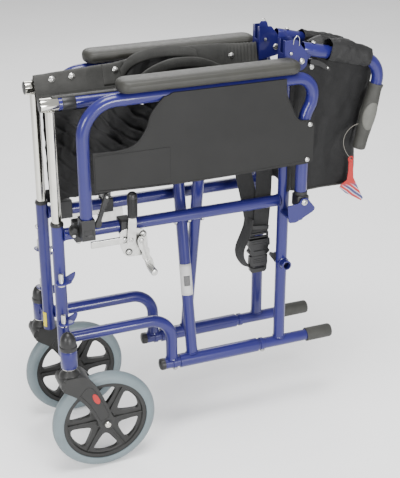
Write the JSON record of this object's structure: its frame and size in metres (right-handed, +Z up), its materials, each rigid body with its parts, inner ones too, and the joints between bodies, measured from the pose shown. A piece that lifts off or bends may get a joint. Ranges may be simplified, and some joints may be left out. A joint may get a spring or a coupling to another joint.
{
  "type": "folding manual wheelchair",
  "caption": "Folding steel manual wheelchair shown folded, with cross brace, folding back, flip-back arms, castors, brakes; rear wheels and leg rests off.",
  "frame": {"origin": "on the plane the castor wheels stand on, below the centre of the folded chair's box", "axes": "+Z up; the chair faces -Y; +X is the occupant's left, the side nearest the viewer"},
  "size_m": [0.255, 0.6804, 0.781],
  "materials": {
    "blue": "gloss powder coat",
    "chrome": "polished",
    "zinc": "zinc plated",
    "black": "satin moulded",
    "panel": "matt moulded",
    "pad": "soft foam skin",
    "greyrubber": "matt",
    "tyre": "solid grey tyre",
    "nylon": "coated nylon",
    "card": "printed card, plain",
    "cord": "thin cotton cord"
  },
  "bodies": {
    "left_frame": {"front_upright_left": "blue", "side_rail_left": "blue", "lower_tube_left": "blue", "bottom_rail_left": "blue", "rear_upright_left": "blue", "tip_boot_left": "greyrubber", "castor_housing_left": "blue", "arm_socket_left": "black", "arm_bracket_left": "blue", "back_bracket_left": "blue", "brake_base_left": "zinc"},
    "left_castor": {"castor_fork_left": "black"},
    "left_wheel": {"castor_rim_left": "black", "castor_tyre_left": "tyre"},
    "left_arm": {"arm_tube_left": "blue", "arm_pad_left": "pad", "clothing_guard_left": "panel"},
    "left_arm_release": {"arm_release_left": "black"},
    "left_brake_lever": {"brake_lever_left": "zinc"},
    "left_brake_shoe": {"brake_shoe_left": "zinc"},
    "left_upper_back": {"upper_cane_left": "blue", "push_grip_left": "greyrubber"},
    "left_back_latch": {"back_latch_left": "black"},
    "left_post": {"seat_post_left": "chrome"},
    "right_frame": {"front_upright_right": "blue", "side_rail_right": "blue", "lower_tube_right": "blue", "bottom_rail_right": "blue", "rear_upright_right": "blue", "tip_boot_right": "greyrubber", "castor_housing_right": "blue", "arm_socket_right": "black", "arm_bracket_right": "blue", "back_bracket_right": "blue", "brake_base_right": "zinc"},
    "right_castor": {"castor_fork_right": "black"},
    "right_wheel": {"castor_rim_right": "black", "castor_tyre_right": "tyre"},
    "right_arm": {"arm_tube_right": "blue", "arm_pad_right": "pad", "clothing_guard_right": "panel"},
    "right_arm_release": {"arm_release_right": "black"},
    "right_brake_lever": {"brake_lever_right": "zinc"},
    "right_brake_shoe": {"brake_shoe_right": "zinc"},
    "right_upper_back": {"upper_cane_right": "blue", "push_grip_right": "greyrubber"},
    "right_back_latch": {"back_latch_right": "black"},
    "right_post": {"seat_post_right": "chrome"},
    "brace_a": {"brace_a": "blue", "cross_bolt": "zinc", "seat_sling_right": "nylon"},
    "brace_b": {"brace_b": "blue", "seat_sling_left": "nylon"},
    "lap_belt": {"lap_belt": "nylon", "belt_buckle": "black"},
    "back_lower": {"back_lower": "nylon"},
    "back_upper": {"back_upper": "nylon"},
    "hang_tag": {"hang_tag": "card", "tag_string": "cord"}
  },
  "joints": [
    {"name": "frame_fold", "type": "hinge", "parent": "left_frame", "child": "brace_a", "pos_m": [0.054, -0.04378, 0.1605], "axis": [0, -1, 0], "range_deg": [0, 40.7], "deforming": ["seat_sling_left", "seat_sling_right"]},
    {"name": "brace_cross", "type": "hinge", "parent": "brace_a", "child": "brace_b", "pos_m": [0, -0.01578, 0.434], "axis": [0, 1, 0], "range_deg": [0, 81.5]},
    {"name": "right_rail_turn", "type": "hinge", "parent": "brace_b", "child": "right_frame", "pos_m": [-0.054, -0.01578, 0.1605], "axis": [0, -1, 0], "range_deg": [0, 40.8]},
    {"name": "right_post_turn", "type": "hinge", "parent": "brace_a", "child": "right_post", "pos_m": [-0.054, -0.29778, 0.7075], "axis": [0, 1, 0], "range_deg": [0, 40.8]},
    {"name": "left_post_turn", "type": "hinge", "parent": "brace_b", "child": "left_post", "pos_m": [0.054, -0.29778, 0.7075], "axis": [0, -1, 0], "range_deg": [0, 40.8]},
    {"name": "belt_swing", "type": "hinge", "parent": "brace_b", "child": "lap_belt", "pos_m": [0.054, 0.09222, 0.7075], "axis": [0, -1, 0], "range_deg": [0, 40.8]},
    {"name": "back_lower_slide", "type": "slide", "parent": "left_frame", "child": "back_lower", "axis": [-1, 0, 0], "range_m": [0, 0.3312]},
    {"name": "back_fold", "type": "hinge", "parent": "left_frame", "child": "left_upper_back", "pos_m": [0.054, 0.16222, 0.738], "axis": [1, 0, 0], "range_deg": [0, 103]},
    {"name": "right_back_fold", "type": "hinge", "parent": "right_frame", "child": "right_upper_back", "pos_m": [-0.054, 0.16222, 0.738], "axis": [1, 0, 0], "range_deg": [0, 103.1]},
    {"name": "back_upper_slide", "type": "slide", "parent": "left_upper_back", "child": "back_upper", "axis": [-1, 0, 0], "range_m": [0, 0.3312]},
    {"name": "tag_swing", "type": "hinge", "parent": "left_upper_back", "child": "hang_tag", "pos_m": [0.054, 0.29672, 0.6], "axis": [1, 0, 0], "range_deg": [-103.1, 0]},
    {"name": "left_castor_swivel", "type": "hinge", "parent": "left_frame", "child": "left_castor", "pos_m": [0.1005, -0.30178, 0.2265], "axis": [0, 0, 1], "continuous": true},
    {"name": "left_wheel_spin", "type": "hinge", "parent": "left_castor", "child": "left_wheel", "pos_m": [0.1005, -0.24078, 0.1], "axis": [1, 0, 0], "continuous": true},
    {"name": "left_arm_flip", "type": "hinge", "parent": "left_frame", "child": "left_arm", "pos_m": [0.098, 0.15572, 0.4835], "axis": [-1, 0, 0], "range_deg": [0, 100]},
    {"name": "left_arm_release_pull", "type": "hinge", "parent": "left_frame", "child": "left_arm_release", "pos_m": [0.098, -0.23128, 0.498], "axis": [-1, 0, 0], "range_deg": [0, 20], "stiffness_Nm_per_rad": 0.4},
    {"name": "left_brake_turn", "type": "hinge", "parent": "left_frame", "child": "left_brake_lever", "pos_m": [0.075, -0.16978, 0.447], "axis": [1, 0, 0], "range_deg": [0, 38]},
    {"name": "left_brake_shoe_turn", "type": "hinge", "parent": "left_frame", "child": "left_brake_shoe", "pos_m": [0.075, -0.15178, 0.444], "axis": [1, 0, 0], "range_deg": [0, 24]},
    {"name": "left_latch_pull", "type": "hinge", "parent": "left_upper_back", "child": "left_back_latch", "pos_m": [0.054, 0.19123, 0.73028], "axis": [-1, 0, 0], "range_deg": [0, 12], "stiffness_Nm_per_rad": 0.3},
    {"name": "right_castor_swivel", "type": "hinge", "parent": "right_frame", "child": "right_castor", "pos_m": [-0.1005, -0.30178, 0.2265], "axis": [0, 0, 1], "continuous": true},
    {"name": "right_wheel_spin", "type": "hinge", "parent": "right_castor", "child": "right_wheel", "pos_m": [-0.1005, -0.24078, 0.1], "axis": [1, 0, 0], "continuous": true},
    {"name": "right_arm_flip", "type": "hinge", "parent": "right_frame", "child": "right_arm", "pos_m": [-0.098, 0.15572, 0.4835], "axis": [-1, 0, 0], "range_deg": [0, 100]},
    {"name": "right_arm_release_pull", "type": "hinge", "parent": "right_frame", "child": "right_arm_release", "pos_m": [-0.098, -0.23128, 0.498], "axis": [-1, 0, 0], "range_deg": [0, 20], "stiffness_Nm_per_rad": 0.4},
    {"name": "right_brake_turn", "type": "hinge", "parent": "right_frame", "child": "right_brake_lever", "pos_m": [-0.075, -0.16978, 0.447], "axis": [1, 0, 0], "range_deg": [0, 38]},
    {"name": "right_brake_shoe_turn", "type": "hinge", "parent": "right_frame", "child": "right_brake_shoe", "pos_m": [-0.075, -0.15178, 0.444], "axis": [1, 0, 0], "range_deg": [0, 24]},
    {"name": "right_latch_pull", "type": "hinge", "parent": "right_upper_back", "child": "right_back_latch", "pos_m": [-0.054, 0.19123, 0.73028], "axis": [-1, 0, 0], "range_deg": [0, 12], "stiffness_Nm_per_rad": 0.3}
  ],
  "couplings": [
    {"joint": "brace_cross", "follows": "frame_fold", "ratio": 2},
    {"joint": "right_rail_turn", "follows": "frame_fold", "ratio": 1},
    {"joint": "right_post_turn", "follows": "frame_fold", "ratio": 1},
    {"joint": "left_post_turn", "follows": "frame_fold", "ratio": 1},
    {"joint": "belt_swing", "follows": "frame_fold", "ratio": 1},
    {"joint": "back_lower_slide", "follows": "frame_fold", "m_per_rad": 0.46537},
    {"joint": "right_back_fold", "follows": "back_fold", "ratio": 1},
    {"joint": "back_upper_slide", "follows": "frame_fold", "m_per_rad": 0.46537},
    {"joint": "tag_swing", "follows": "back_fold", "ratio": -1},
    {"joint": "left_brake_shoe_turn", "follows": "left_brake_turn", "ratio": 0.6},
    {"joint": "right_brake_shoe_turn", "follows": "right_brake_turn", "ratio": 0.6}
  ]
}
